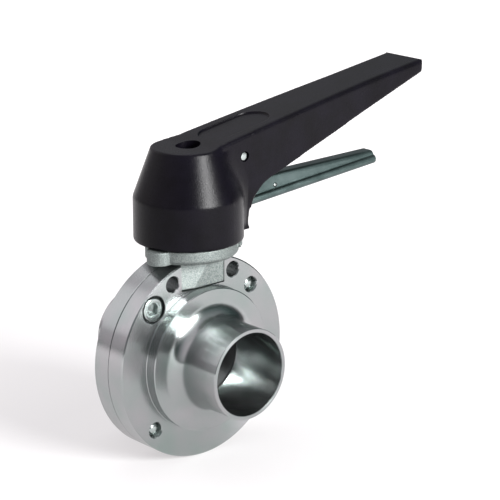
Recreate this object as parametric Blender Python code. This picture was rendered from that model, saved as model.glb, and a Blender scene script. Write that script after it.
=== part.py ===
"""Sanitary butterfly valve with weld ends and a lever handle locked by a squeeze trigger.

Frame: the origin is the centre of the disc, +Z runs up the stem and Y runs along the pipe.
The valve stands closed, with the handle along +X, across the pipe.
"""

import math

import bmesh
import bpy
from mathutils import Matrix, Vector

MM = 0.001
GAP = 0.3 * MM  # air between two pieces that touch

# Tube and body
TUBE_R = 19.05 * MM
TUBE_WALL = 1.65 * MM
BORE_R = TUBE_R - TUBE_WALL
TUBE_END = 38.0 * MM  # from the middle of the valve to the weld face
FLANGE_T = 9.0 * MM  # thickness of one half's flange
FLANGE_CHAMFER = 0.5 * MM
BOSS_RISE = 5.2 * MM
BOSS_CHAMFER = 0.35 * MM
FILLET_R = 5.9 * MM  # hollow fillet between the boss and the tube
BODY_STEPS = 56

# Screws that clamp the two halves
BOLT_CIRCLE_R = 36.6 * MM
BOLT_ANGLE = math.radians(135)
SHANK_R = 3.0 * MM
HEAD_R = 5.0 * MM
HEAD_T = 6.0 * MM
HEAD_SUNK = 0.8 * MM
HEAD_BEVEL = 0.5 * MM
SHANK_SUNK = 2.0 * MM  # how far the screw's end stops short of the far flange face
HEX_FLATS = 5.0 * MM
HEX_DEPTH = 3.2 * MM
COUNTERBORE_CLEAR = 0.5 * MM
HOLE_CLEAR = 0.3 * MM
RIM_WIDTH = 6.4 * MM  # from the screw circle out to the flange's rim
HEAD_LAND = 0.8 * MM  # flat between the counterbores and the boss
FLANGE_R = BOLT_CIRCLE_R + RIM_WIDTH
BOSS_R = BOLT_CIRCLE_R - HEAD_R - COUNTERBORE_CLEAR - HEAD_LAND

# Seat, disc and stem
SEAT_PROUD = 0.2 * MM  # how far the rubber stands inside the tube's bore
SEAT_WALL = 4.6 * MM
SEAT_HALF = 9.3 * MM
SEAT_GROOVE = 0.9 * MM
SEAT_LIP = 0.8 * MM
SEAT_BORE_R = BORE_R - SEAT_PROUD
SEAT_R = SEAT_BORE_R + SEAT_WALL
DISC_CLEAR = 0.3 * MM
DISC_RIM_T = 4.4 * MM
DISC_EDGE = 0.6 * MM
DISC_HUB_R = 6.6 * MM
HUB_SETBACK = 2.2 * MM  # from the disc's rim to the ends of its hub
STEM_R = 5.0 * MM
SQUARE = 7.0 * MM  # across the flats of the stem's square drive

# Bushes
BUSH_WALL = 1.6 * MM
BUSH_SETBACK = 1.4 * MM  # from the seat's back to both bushes
BUSH_FOOT = SEAT_R + BUSH_SETBACK
UPPER_BUSH_LENGTH = 18.0 * MM
LOWER_BUSH_LENGTH = 6.8 * MM
STEM_FOOT = BUSH_FOOT + LOWER_BUSH_LENGTH

# Index bracket: the leg in the slot, the collar that the halves hold, the notched plate
COLLAR_R = 9.6 * MM
COLLAR_T = 4.0 * MM
COLLAR_FLOOR = 1.6 * MM  # metal between the seat and the collar
COLLAR_Z = (SEAT_R + COLLAR_FLOOR, SEAT_R + COLLAR_FLOOR + COLLAR_T)
NECK_R = 7.9 * MM
NECK_LENGTH = 2.7 * MM
SLOT_HALF = 11.4 * MM
SLOT_FLOOR = COLLAR_Z[1] + NECK_LENGTH
LEG_PLAY = 0.4 * MM
FACET_FOOT = (-5.2 * MM, SLOT_FLOOR)  # X and Z where the slanted facet ends on the front face
FACET_TOP = (2.4 * MM, SLOT_FLOOR + 9.7 * MM)
FACET_SET_BACK = 1.5 * MM  # how far the facet has fallen back at the leg's side
PLATE_R = 20.5 * MM
PLATE_T = 5.8 * MM
PLATE_Z = (FLANGE_R, FLANGE_R + PLATE_T)
PLATE_CHAMFER = 1.5 * MM
PLATE_FLAT = 17.4 * MM  # flat on the plate's back left
PLATE_FLAT_ANGLE = math.radians(138.5)
TOOTH_RING_R = PLATE_R + 1.5 * MM
TOOTH_RING_T = 2.4 * MM
NOTCH_DEPTH = 2.0 * MM
NOTCH_WIDTH = 2.2 * MM
NOTCH_STEP = math.radians(10)
NOTCH_FIRST = math.radians(-50)
NOTCH_COUNT = 15
LOBE_R = 5.2 * MM
LOBE_OFFSET = PLATE_R - 1.0 * MM
LOBE_ANGLE = math.radians(193)

# Two open holes beside the bracket, between the boss and the rim
SIDE_HOLE_R = 3.25 * MM
SIDE_HOLE_X = SLOT_HALF + 4.6 * MM
SIDE_HOLE_Z = SLOT_FLOOR + 4.4 * MM

# Handle, with its heights counted from the top of the notched plate
SKIRT_R = 22.7 * MM
SKIRT_WALL = 2.5 * MM
SKIRT_FOOT = PLATE_Z[1] + 0.6 * MM
SKIRT_TOP = PLATE_Z[1] + 18.5 * MM
HUB_TOP_R = 15.0 * MM  # half width of the handle's top over the stem
HUB_TOP_Z = PLATE_Z[1] + 39.5 * MM  # height of the handle's top over the stem
HUB_OVERSIZE = 6.0 * MM  # extra cone that the slanted top cuts away
TOP_SLOPE = 0.181
TOP_BEND_R = 3700.0 * MM  # the top bends down a little along its length
HUB_FLAT_Z = HUB_TOP_Z - 0.4 * MM  # level spot round the screw hole
RAMP_X = (-3.0 * MM, 10.0 * MM)  # from the level spot up to the arm's sloping top
ARM_END = 125.2 * MM
ARM_ROOT_HALF = 14.5 * MM  # half width of the arm's top over the stem
ARM_HALF = 11.2 * MM
ARM_FOOT_HALF = 11.2 * MM
ARM_TAPER_END = 90.0 * MM  # from here outwards the arm's sides are parallel
ARM_FRONT = SKIRT_R + 0.8 * MM  # front of the arm's root over the plate
ARM_FOOT = PLATE_Z[1] + 2.1 * MM
ARM_TIP_T = 5.35 * MM
UNDER_SLOPE = math.atan(0.3575)
UNDER_R = 16.0 * MM  # hollow curve from the root's front into the underside
ARM_WALL = 2.5 * MM
ARM_ROOF = 3.2 * MM
ARM_TIP_WALL = 3.6 * MM
ARM_EDGE = 1.2 * MM  # softened top edges
ARM_TIP_ROUND = 2.0 * MM
CHANNEL_BACK = 2.6 * MM  # how far the channel reaches in behind the arm's front
HUB_BOSS_R = 12.2 * MM
HUB_CEILING = SKIRT_TOP - 4.3 * MM
SCREW_HOLE_R = 5.15 * MM
RECESS_X = (7.8 * MM, 42.2 * MM)
RECESS_HALF = 8.2 * MM
RECESS_DEPTH = 0.7 * MM

# Steel insert in the handle, its screw and washer
INSERT_R = 9.0 * MM
INSERT_CLEAR = 1.2 * MM  # from the plate up to the insert
INSERT_TOP = PLATE_Z[1] + 27.2 * MM
INSERT_CAP = 3.6 * MM
STEM_END_GAP = 2.4 * MM
STEM_TOP = INSERT_TOP - INSERT_CAP - STEM_END_GAP
SQUARE_START = PLATE_Z[1] + 3.8 * MM
WASHER_R = 4.9 * MM
WASHER_T = 1.2 * MM
TOP_HEAD_R = 4.8 * MM
TOP_HEAD_T = 4.6 * MM
TOP_SHANK_R = 2.5 * MM
TOP_THREAD = 10.0 * MM  # how far the handle's screw reaches into the stem
TOP_SHANK_END = STEM_TOP - TOP_THREAD

# Trigger: pressed channel with rolled lower edges
PIVOT_X = 19.2 * MM
PIVOT_Z = HUB_TOP_Z - 5.7 * MM
PIVOT_R = 1.9 * MM
PIVOT_CLEAR = 0.3 * MM
EAR_R = 4.2 * MM
SHEET = 1.5 * MM
TRIGGER_HALF = 3.75 * MM
TRIGGER_TOP = PIVOT_Z - 13.5 * MM  # crown of the channel at its root
TRIGGER_TOP_RISE = 0.01  # how the crown climbs towards the tip
TRIGGER_START = 29.0 * MM
TRIGGER_END = 102.5 * MM
TRIGGER_FOOT = TRIGGER_TOP - 10.9 * MM  # underside of the rolled edge at the root
TRIGGER_RISE = 0.083  # how the rolled edge climbs towards the tip
CROWN_R = 1.8 * MM
ROLL_R = 1.9 * MM
ROLL_OUT = 1.85 * MM  # how far the rolled edge stands outside the wall
PAWL_CLEAR = 0.5 * MM  # air between the tooth and the notched ring
PAWL_TIP = TOOTH_RING_R + PAWL_CLEAR
PAWL_REACH = 3.0 * MM
PAWL_DROP = 1.9 * MM  # how far the tooth hangs below the plate's top
PAWL_FOOT = PLATE_Z[1] - PAWL_DROP
RIVET_R = 1.1 * MM
RIVET_HEIGHTS = (PLATE_Z[1] + 3.7 * MM, PLATE_Z[1] + 9.2 * MM)
RIVET_X = PAWL_TIP + 1.1 * MM
SIDE_PLAY = 0.4 * MM
EAR_PLAY = 0.8 * MM

# Spring between the arm and the trigger
SPRING_X = 44.3 * MM
SPRING_MEAN_R = 2.5 * MM
SPRING_WIRE_R = 0.4 * MM
SPRING_TURNS = 8
SPRING_POINTS = 8
HOUSING_R = 4.4 * MM
HOUSING_BORE_R = 3.3 * MM
HOUSING_FOOT = TRIGGER_TOP + 6.1 * MM  # clear of the trigger's crown when it is squeezed
GUIDE_R = 1.3 * MM
GUIDE_TOP = TRIGGER_TOP + 10.9 * MM
CROSS_PIN_R = 0.72 * MM
CROSS_PIN_Z = TRIGGER_TOP - 4.6 * MM
GUIDE_FOOT = CROSS_PIN_Z - 2.7 * MM


def clear_scene():
    """Start from an empty scene."""
    for item in list(bpy.data.objects):
        bpy.data.objects.remove(item, do_unlink=True)


def make_material(name, colour, roughness, metallic):
    """A plain surface for one kind of stock."""
    material = bpy.data.materials.new(name)
    material.use_nodes = True
    shader = material.node_tree.nodes["Principled BSDF"]
    shader.inputs["Base Color"].default_value = (*colour, 1.0)
    shader.inputs["Roughness"].default_value = roughness
    shader.inputs["Metallic"].default_value = metallic
    return material


def add_object(name, bm, material=None):
    """Turn a bmesh into a named object with its faces pointing out."""
    bmesh.ops.recalc_face_normals(bm, faces=bm.faces)
    if bm.calc_volume(signed=True) < 0.0:
        bmesh.ops.reverse_faces(bm, faces=bm.faces)
    mesh = bpy.data.meshes.new(name)
    bm.to_mesh(mesh)
    bm.free()
    mesh.shade_smooth()
    mesh.set_sharp_from_angle(angle=math.radians(32))
    item = bpy.data.objects.new(name, mesh)
    bpy.context.scene.collection.objects.link(item)
    if material is not None:
        mesh.materials.append(material)
    return item


def combine(target, tool_bm, operation="DIFFERENCE"):
    """Cut a shape out of an object, or join it on, with a live Boolean."""
    tool = add_object(target.name + "." + operation.lower(), tool_bm)
    tool.hide_render = True
    tool.display_type = "WIRE"
    boolean = target.modifiers.new(operation.lower(), "BOOLEAN")
    boolean.operation = operation
    boolean.solver = "EXACT"
    boolean.object = tool
    return tool


def turned(profile, steps, axis="Z"):
    """Spin a closed outline of (radius, height) points round an axis."""
    bm = bmesh.new()
    verts = [bm.verts.new((r, 0.0, h)) for r, h in profile]
    edges = [bm.edges.new(pair) for pair in zip(verts, verts[1:])]
    if profile[0][0] > 0.0 and profile[-1][0] > 0.0:
        edges.append(bm.edges.new((verts[-1], verts[0])))
    bmesh.ops.spin(bm, geom=verts + edges, cent=(0, 0, 0), axis=(0, 0, 1),
                   angle=math.tau, steps=steps, use_merge=True)
    bmesh.ops.remove_doubles(bm, verts=bm.verts, dist=1e-7)
    if axis == "Y":
        bm.transform(Matrix.Rotation(math.radians(90), 4, "X"))
    return bm


def prism(outline, low, high, axis="Z"):
    """Push a flat outline from low to high along an axis; Y takes (x, z) points."""
    bm = bmesh.new()
    if axis == "Z":
        verts = [bm.verts.new((a, b, low)) for a, b in outline]
        push = Vector((0, 0, high - low))
    elif axis == "Y":
        verts = [bm.verts.new((a, low, b)) for a, b in outline]
        push = Vector((0, high - low, 0))
    else:
        verts = [bm.verts.new((low, a, b)) for a, b in outline]
        push = Vector((high - low, 0, 0))
    face = bm.faces.new(verts)
    grown = bmesh.ops.extrude_face_region(bm, geom=[face])
    moved = [v for v in grown["geom"] if isinstance(v, bmesh.types.BMVert)]
    bmesh.ops.translate(bm, verts=moved, vec=push)
    return bm


def box(low, high):
    """A block between two corners."""
    corners = [(low[0], low[1]), (high[0], low[1]), (high[0], high[1]), (low[0], high[1])]
    return prism(corners, low[2], high[2])


def circle(radius, steps, centre=(0.0, 0.0), start=0.0):
    """Points round a circle."""
    return [(centre[0] + radius * math.cos(start + math.tau * i / steps),
             centre[1] + radius * math.sin(start + math.tau * i / steps)) for i in range(steps)]


def arc(centre, radius, start, end, steps):
    """Points along an arc, both ends included."""
    return [(centre[0] + radius * math.cos(start + (end - start) * i / steps),
             centre[1] + radius * math.sin(start + (end - start) * i / steps))
            for i in range(steps + 1)]


def rod(radius, low, high, centre, axis="Z", steps=20):
    """A round bar along an axis, centred on a point of the plane across it."""
    return prism(circle(radius, steps, centre), low, high, axis)


def loft(sections):
    """Skin a row of outlines that have the same number of points, and close both ends."""
    bm = bmesh.new()
    rings = [[bm.verts.new(p) for p in section] for section in sections]
    count = len(rings[0])
    for ring, after in zip(rings, rings[1:]):
        for i in range(count):
            j = (i + 1) % count
            bm.faces.new((ring[i], ring[j], after[j], after[i]))
    bm.faces.new(rings[0][::-1])
    bm.faces.new(rings[-1])
    return bm


# --- Body -------------------------------------------------------------------------------------


def bolt_place(angle):
    """X and Z of a clamp screw."""
    return (BOLT_CIRCLE_R * math.cos(angle), BOLT_CIRCLE_R * math.sin(angle))


def front_turn(angle):
    """Half a turn about the stem, for whatever belongs to the back half."""
    return Matrix.Rotation(angle, 4, "Z")


def make_body_half(name, turn, material):
    """One flanged half with its tube, modelled at the front and turned for the back."""
    boss_face = FLANGE_T + BOSS_RISE
    corner = (TUBE_R + FILLET_R, boss_face + FILLET_R)
    fillet = arc(corner, FILLET_R, math.radians(270), math.radians(180), 6)
    part_line = GAP / 2
    pocket = SEAT_HALF + GAP
    profile = [
        (FLANGE_R, part_line),
        (FLANGE_R, FLANGE_T - FLANGE_CHAMFER),
        (FLANGE_R - FLANGE_CHAMFER, FLANGE_T),
        (BOSS_R, FLANGE_T),
        (BOSS_R, boss_face - BOSS_CHAMFER),
        (BOSS_R - BOSS_CHAMFER, boss_face),
        *fillet,
        (TUBE_R, TUBE_END),
        (BORE_R, TUBE_END),
        (BORE_R, pocket),
        (SEAT_R + GAP, pocket),
        (SEAT_R + GAP, part_line),
    ]
    body = add_object(name, turned(profile, BODY_STEPS, "Y"), material)
    cutters = [
        box((-SLOT_HALF, -TUBE_END, SLOT_FLOOR), (SLOT_HALF, GAP, FLANGE_R + GAP)),
        rod(NECK_R + GAP, COLLAR_Z[0], SLOT_FLOOR + GAP, (0, 0), steps=24),
        rod(COLLAR_R + GAP, COLLAR_Z[0] - GAP, COLLAR_Z[1] + GAP, (0, 0), steps=24),
        rod(STEM_R + BUSH_WALL + GAP, -STEM_FOOT - 2 * GAP, -SEAT_R + 2 * GAP, (0, 0), steps=24),
        rod(STEM_R + GAP, SEAT_R - GAP, COLLAR_Z[0], (0, 0), steps=24),
    ]
    for side in (-1, 1):
        place = (side * SIDE_HOLE_X, SIDE_HOLE_Z)
        cutters.append(rod(SIDE_HOLE_R, -TUBE_END, GAP, place, "Y"))
    for quarter in range(4):
        place = bolt_place(BOLT_ANGLE + quarter * math.pi / 2)
        cutters.append(rod(SHANK_R + HOLE_CLEAR, -FLANGE_T - GAP, GAP, place, "Y"))
        if quarter % 2 == 0:
            seat = HEAD_SUNK + HEAD_T
            cutters.append(rod(HEAD_R + COUNTERBORE_CLEAR, -FLANGE_T - GAP,
                               -FLANGE_T + seat + HOLE_CLEAR, place, "Y", 24))
    for cutter in cutters:
        cutter.transform(front_turn(turn))
        combine(body, cutter)
    body.data.transform(front_turn(turn))
    return body


def make_seat(material):
    """The rubber ring between the halves, with a groove round its back and two stem holes."""
    inner = SEAT_BORE_R
    lip = SEAT_LIP
    profile = [
        (SEAT_R, -SEAT_HALF), (SEAT_R, -SEAT_GROOVE), (SEAT_R - SEAT_GROOVE, 0.0),
        (SEAT_R, SEAT_GROOVE), (SEAT_R, SEAT_HALF), (inner + lip, SEAT_HALF),
        (inner, SEAT_HALF - lip), (inner, -SEAT_HALF + lip), (inner + lip, -SEAT_HALF),
    ]
    seat = add_object("seat_ring", turned(profile, BODY_STEPS, "Y"), material)
    reach = SEAT_R + GAP
    combine(seat, rod(STEM_R + GAP, 0.0, reach, (0, 0), steps=24))
    combine(seat, rod(STEM_R + GAP, -reach, 0.0, (0, 0), steps=24))
    return seat


def make_disc(material):
    """The disc with its stems in one forging: lens, hub, round journals, square drive."""
    rim = SEAT_BORE_R - DISC_CLEAR
    half = DISC_RIM_T / 2
    crown = DISC_HUB_R * 0.75
    edge = DISC_EDGE
    lens = [
        (0.0, -crown), (rim * 0.45, -crown * 0.86), (rim * 0.8, -half * 1.25),
        (rim - edge, -half), (rim, -half + edge), (rim, half - edge), (rim - edge, half),
        (rim * 0.8, half * 1.25), (rim * 0.45, crown * 0.86), (0.0, crown),
    ]
    disc = add_object("valve_disc", turned(lens, 48, "Y"), material)
    combine(disc, rod(STEM_R, -STEM_FOOT, SQUARE_START, (0, 0), steps=24), "UNION")
    hub_end = rim - HUB_SETBACK
    hub = [(0.0, -hub_end), (STEM_R, -hub_end), (DISC_HUB_R, -hub_end * 0.55),
           (DISC_HUB_R, hub_end * 0.55), (STEM_R, hub_end), (0.0, hub_end)]
    combine(disc, turned(hub, 24), "UNION")
    flat = SQUARE / 2
    square = box((-flat, -flat, SQUARE_START - MM), (flat, flat, STEM_TOP))
    combine(disc, square, "UNION")
    tapped = rod(TOP_SHANK_R + HOLE_CLEAR, TOP_SHANK_END - GAP, STEM_TOP + GAP, (0, 0))
    combine(disc, tapped)
    return disc


def make_bush(name, low, high, material):
    """A plain sleeve round the stem."""
    inner = STEM_R + GAP / 2
    outer = STEM_R + BUSH_WALL
    profile = [(outer, low), (outer, high), (inner, high), (inner, low)]
    return add_object(name, turned(profile, 24), material)


def make_clamp_screw(name, angle, turn, material):
    """A socket-head screw from one flange face into the other half."""
    x, z = bolt_place(angle)
    face = -FLANGE_T + HEAD_SUNK
    under = face + HEAD_T
    profile = [
        (0.0, face), (HEAD_R - HEAD_BEVEL, face), (HEAD_R, face + HEAD_BEVEL), (HEAD_R, under),
        (SHANK_R, under), (SHANK_R, FLANGE_T - SHANK_SUNK - HEAD_BEVEL),
        (SHANK_R - HEAD_BEVEL, FLANGE_T - SHANK_SUNK), (0.0, FLANGE_T - SHANK_SUNK),
    ]
    bm = turned([(r, -y) for r, y in profile], 24, "Y")
    bm.transform(Matrix.Translation((x, 0.0, z)))
    bm.transform(front_turn(turn))
    screw = add_object(name, bm, material)
    hexagon = circle(HEX_FLATS / 2 / math.cos(math.pi / 6), 6, (x, z), math.radians(14))
    socket = prism(hexagon, face - GAP, face + HEX_DEPTH, "Y")
    socket.transform(front_turn(turn))
    combine(screw, socket)
    return screw


# --- Index bracket ----------------------------------------------------------------------------


def facet_tool(turn):
    """A wedge that slants the leg's front left corner back towards its side."""
    side = -SLOT_HALF
    face = -FLANGE_T
    steep = (FACET_TOP[1] - FACET_FOOT[1]) / (FACET_TOP[0] - FACET_FOOT[0])
    low_z = SLOT_FLOOR - MM
    high_z = PLATE_Z[0] + 0.5 * MM
    fall = FACET_SET_BACK / (FACET_FOOT[0] - side)
    rings = []
    for z in (low_z, high_z):
        start = FACET_FOOT[0] + (z - FACET_FOOT[1]) / steep
        back = face + (start - side + MM) * fall
        rings.append([(start, face, z), (side - MM, back, z), (side - MM, face - MM, z),
                      (start, face - MM, z)])
    bm = loft(rings)
    bm.transform(front_turn(turn))
    return bm


def make_bracket(material):
    """One casting: a collar held by the halves, a leg in the slot and the notched plate."""
    half = SLOT_HALF - LEG_PLAY
    floor = SLOT_FLOOR + GAP
    low, high = PLATE_Z
    leg = box((-half, -FLANGE_T, floor), (half, FLANGE_T, low + MM))
    bracket = add_object("index_bracket", leg, material)
    for turn in (0.0, math.pi):
        combine(bracket, facet_tool(turn))
    plate = [(0.0, low), (PLATE_R - PLATE_CHAMFER, low), (PLATE_R, low + PLATE_CHAMFER),
             (PLATE_R, high), (0.0, high)]
    combine(bracket, turned(plate, 48), "UNION")
    sweep = NOTCH_STEP * (NOTCH_COUNT - 1) + NOTCH_STEP
    start = NOTCH_FIRST - NOTCH_STEP / 2
    sector = arc((0, 0), TOOTH_RING_R, start, start + sweep, 3 * NOTCH_COUNT)
    sector += arc((0, 0), PLATE_R - NOTCH_DEPTH, start + sweep, start, NOTCH_COUNT)
    combine(bracket, prism(sector, high - TOOTH_RING_T, high), "UNION")
    lobe = (LOBE_OFFSET * math.cos(LOBE_ANGLE), LOBE_OFFSET * math.sin(LOBE_ANGLE))
    combine(bracket, rod(LOBE_R, low, high, lobe, steps=24), "UNION")
    collar = [(0.0, COLLAR_Z[0]), (COLLAR_R, COLLAR_Z[0]), (COLLAR_R, COLLAR_Z[1]),
              (NECK_R, COLLAR_Z[1]), (NECK_R, floor + MM), (0.0, floor + MM)]
    combine(bracket, turned(collar, 24), "UNION")
    flat = box((PLATE_FLAT, -PLATE_R, low - GAP), (PLATE_R + MM, PLATE_R, high + GAP))
    flat.transform(Matrix.Rotation(PLATE_FLAT_ANGLE, 4, "Z"))
    combine(bracket, flat)
    notches = bmesh.new()
    for i in range(NOTCH_COUNT):
        notch = box((TOOTH_RING_R - NOTCH_DEPTH, -NOTCH_WIDTH / 2, high - TOOTH_RING_T),
                    (TOOTH_RING_R + MM, NOTCH_WIDTH / 2, high + GAP))
        notch.transform(Matrix.Rotation(NOTCH_FIRST + i * NOTCH_STEP, 4, "Z"))
        piece = bpy.data.meshes.new("notch")
        notch.to_mesh(piece)
        notch.free()
        notches.from_mesh(piece)
        bpy.data.meshes.remove(piece)
    combine(bracket, notches)
    bush_hole = STEM_R + BUSH_WALL + GAP
    bush_top = BUSH_FOOT + UPPER_BUSH_LENGTH + GAP
    combine(bracket, rod(bush_hole, COLLAR_Z[0] - GAP, bush_top, (0, 0), steps=24))
    combine(bracket, rod(STEM_R + GAP, bush_top - GAP, high + GAP, (0, 0), steps=24))
    return bracket


# --- Handle -----------------------------------------------------------------------------------


def crown(x):
    """Height of the long shallow crown that climbs towards the tip."""
    return HUB_TOP_Z + TOP_SLOPE * x - x * x / (2 * TOP_BEND_R)


def top_z(x):
    """Height of the handle's top: level round the screw hole, then a ramp up to the crown."""
    start, end = RAMP_X
    t = (x - start) / (end - start)
    if t <= 0.0:
        return HUB_FLAT_Z
    if t >= 1.0:
        return crown(x)
    rise = crown(end) - HUB_FLAT_Z
    lean = (TOP_SLOPE - end / TOP_BEND_R) * (end - start)
    return HUB_FLAT_Z + rise * (3 * t * t - 2 * t ** 3) + lean * (t ** 3 - t * t)


def ramp_stations():
    """Places along the ramp where the top's outline bends."""
    start, end = RAMP_X
    return [start + (end - start) * i / 4 for i in range(5)]


def top_half(x):
    """Half width of the arm's top."""
    taper = min(max(x / ARM_TAPER_END, 0.0), 1.0)
    return ARM_ROOT_HALF + (ARM_HALF - ARM_ROOT_HALF) * taper


def under_line(x):
    """Height of the straight stretch of the arm's underside."""
    return top_z(ARM_END) - ARM_TIP_T - (ARM_END - x) * math.tan(UNDER_SLOPE)


def under_curve():
    """Centre of the hollow curve and the X where it meets the straight underside."""
    centre_x = ARM_FRONT + UNDER_R
    centre_z = under_line(centre_x) - UNDER_R / math.cos(UNDER_SLOPE)
    meets_x = centre_x - UNDER_R * math.sin(UNDER_SLOPE)
    return centre_x, centre_z, meets_x


def under_z(x):
    """Height of the arm's underside: foot, hollow curve, straight line."""
    centre_x, centre_z, meets_x = under_curve()
    if x >= meets_x:
        return under_line(x)
    reach = min(centre_x - x, UNDER_R)
    return centre_z + math.sqrt(UNDER_R ** 2 - reach ** 2)


def side_half(x, z):
    """Half width of the arm's drafted side at a height, the same surface down to the foot."""
    up = (z - ARM_FOOT) / (top_z(x) - ARM_FOOT)
    return ARM_FOOT_HALF + (top_half(x) - ARM_FOOT_HALF) * min(max(up, 0.0), 1.0)


def arm_section(x, low, shrink=0.0):
    """The arm's outline at one place along it, with softened top edges."""
    high = top_z(x) - shrink
    low = low + shrink
    edge = ARM_EDGE
    wide = side_half(x, high - edge) - shrink
    foot = side_half(x, low) - shrink
    top = top_half(x) - edge - shrink
    return ((x, -foot, low), (x, foot, low), (x, wide, high - edge), (x, top, high),
            (x, -top, high), (x, -wide, high - edge))


def arm_stations(start, end):
    """Places along the arm where its outline needs a section."""
    centre_x, _, meets_x = under_curve()
    first = max(start, ARM_FRONT)
    angles = [math.radians(180 - a) for a in (2, 8, 16, 26, 38, 52)]
    curve = [centre_x + UNDER_R * math.cos(a) for a in angles]
    straight = [meets_x + (end - meets_x) * i / 6 for i in range(6)]
    return [first] + [x for x in sorted(curve + straight + [ARM_TAPER_END]) if first < x < end] + [end]


def make_handle(material):
    """Moulded handle: skirt, cone, arm with an open channel below, recess and screw hole."""
    slope = (SKIRT_R - HUB_TOP_R) / (HUB_TOP_Z - SKIRT_TOP)
    peak = HUB_TOP_Z + HUB_OVERSIZE
    hub = [(0.0, SKIRT_FOOT), (SKIRT_R, SKIRT_FOOT), (SKIRT_R, SKIRT_TOP),
           (SKIRT_R - slope * (peak - SKIRT_TOP), peak), (0.0, peak)]
    handle = add_object("handle_body", turned(hub, 64), material)

    xs = [-1.5 * SKIRT_R] + ramp_stations() + [SKIRT_R, 1.5 * SKIRT_R]
    lid_top = top_z(xs[-1]) + HUB_OVERSIZE
    lid = [(x, top_z(x)) for x in xs] + [(xs[-1], lid_top), (xs[0], lid_top)]
    combine(handle, prism(lid, -SKIRT_R, SKIRT_R, "Y"))

    root = [0.0] + [x for x in ramp_stations() if x > MM] + [SKIRT_R, ARM_FRONT]
    arm = [arm_section(x, ARM_FOOT) for x in root]
    for x in arm_stations(ARM_FRONT, ARM_END - ARM_TIP_ROUND)[1:]:
        arm.append(arm_section(x, under_z(x)))
    for along, shrink in ((0.6, 0.12), (0.9, 0.35), (1.0, 0.62)):
        x = ARM_END - ARM_TIP_ROUND * (1.0 - along)
        arm.append(arm_section(x, under_z(x), shrink * ARM_TIP_ROUND))
    combine(handle, loft(arm), "UNION")

    ring = [(HUB_BOSS_R, SKIRT_FOOT - GAP), (SKIRT_R - SKIRT_WALL, SKIRT_FOOT - GAP),
            (SKIRT_R - SKIRT_WALL, HUB_CEILING), (HUB_BOSS_R, HUB_CEILING)]
    combine(handle, turned(ring, 48))

    inner = ARM_FOOT_HALF - ARM_WALL
    channel = []
    for x in [ARM_FRONT - CHANNEL_BACK] + arm_stations(ARM_FRONT, ARM_END - ARM_TIP_WALL):
        low = SKIRT_FOOT - MM if x <= ARM_FRONT else under_z(x) - ARM_ROOF
        roof = top_z(x) - ARM_ROOF
        channel.append(((x, -inner, low), (x, inner, low), (x, inner, roof), (x, -inner, roof)))
    combine(handle, loft(channel))

    slot = TRIGGER_HALF + SIDE_PLAY
    slot_back = PIVOT_X - EAR_R - EAR_PLAY
    slot_front = PIVOT_X + EAR_R + 2 * EAR_PLAY
    slot_roof = PIVOT_Z + EAR_R + EAR_PLAY
    combine(handle, box((slot_back, -slot, SKIRT_FOOT - MM), (slot_front, slot, slot_roof)))

    housing = rod(HOUSING_R, HOUSING_FOOT, top_z(SPRING_X) - MM, (SPRING_X, 0.0))
    combine(handle, housing, "UNION")
    bore_top = top_z(SPRING_X) - ARM_ROOF
    combine(handle, rod(HOUSING_BORE_R, HOUSING_FOOT - MM, bore_top, (SPRING_X, 0.0)))

    combine(handle, rod(INSERT_R + GAP, SKIRT_FOOT - MM, INSERT_TOP + GAP, (0, 0), steps=24))
    combine(handle, rod(SCREW_HOLE_R, INSERT_TOP - MM, peak + MM, (0, 0), steps=24))
    combine(handle, rod(PIVOT_R + GAP, -HUB_TOP_R, HUB_TOP_R, (PIVOT_X, PIVOT_Z), "Y"))

    left, right = RECESS_X
    right_arc = arc((right - RECESS_HALF, 0), RECESS_HALF, -math.pi / 2, math.pi / 2, 12)
    left_arc = arc((left + RECESS_HALF, 0), RECESS_HALF, math.pi / 2, 1.5 * math.pi, 12)
    recess = prism(right_arc + left_arc, 0.0, HUB_OVERSIZE)
    middle = (left + right) / 2
    pitch = math.atan(TOP_SLOPE - middle / TOP_BEND_R)
    recess.transform(Matrix.Translation((-middle, 0, 0)))
    recess.transform(Matrix.Rotation(-pitch, 4, "Y"))
    recess.transform(Matrix.Translation((middle, 0, top_z(middle) - RECESS_DEPTH)))
    combine(handle, recess)
    return handle


def make_insert(material):
    """Steel hub in the handle with a square socket for the stem and a cap for the screw."""
    foot = PLATE_Z[1] + INSERT_CLEAR
    insert = add_object("drive_insert", rod(INSERT_R, foot, INSERT_TOP, (0, 0), steps=24), material)
    flat = SQUARE / 2 + GAP
    socket = box((-flat, -flat, foot - MM), (flat, flat, INSERT_TOP - INSERT_CAP))
    combine(insert, socket)
    combine(insert, rod(STEM_R + GAP, foot - MM, SQUARE_START + GAP, (0, 0), steps=24))
    combine(insert, rod(TOP_SHANK_R + GAP, foot, INSERT_TOP + GAP, (0, 0)))
    return insert


def make_handle_screw(material):
    """The screw down the handle's top hole into the stem."""
    under = INSERT_TOP + WASHER_T + 2 * GAP
    head = under + TOP_HEAD_T
    profile = [(0.0, TOP_SHANK_END), (TOP_SHANK_R, TOP_SHANK_END), (TOP_SHANK_R, under),
               (TOP_HEAD_R, under), (TOP_HEAD_R, head - HEAD_BEVEL),
               (TOP_HEAD_R - HEAD_BEVEL, head), (0.0, head)]
    screw = add_object("handle_screw", turned(profile, 24), material)
    hexagon = circle(HEX_FLATS / 2 / math.cos(math.pi / 6), 6)
    combine(screw, prism(hexagon, head - TOP_HEAD_T * 0.6, head + GAP))
    return screw


def make_washer(material):
    """The washer under the handle's screw."""
    low = INSERT_TOP + GAP
    inner = TOP_SHANK_R + GAP
    profile = [(WASHER_R, low), (WASHER_R, low + WASHER_T), (inner, low + WASHER_T), (inner, low)]
    return add_object("handle_washer", turned(profile, 24), material)


# --- Trigger ----------------------------------------------------------------------------------


def roll_foot(x):
    """Height of the underside of the trigger's rolled edge."""
    return TRIGGER_FOOT + TRIGGER_RISE * (x - TRIGGER_START)


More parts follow.
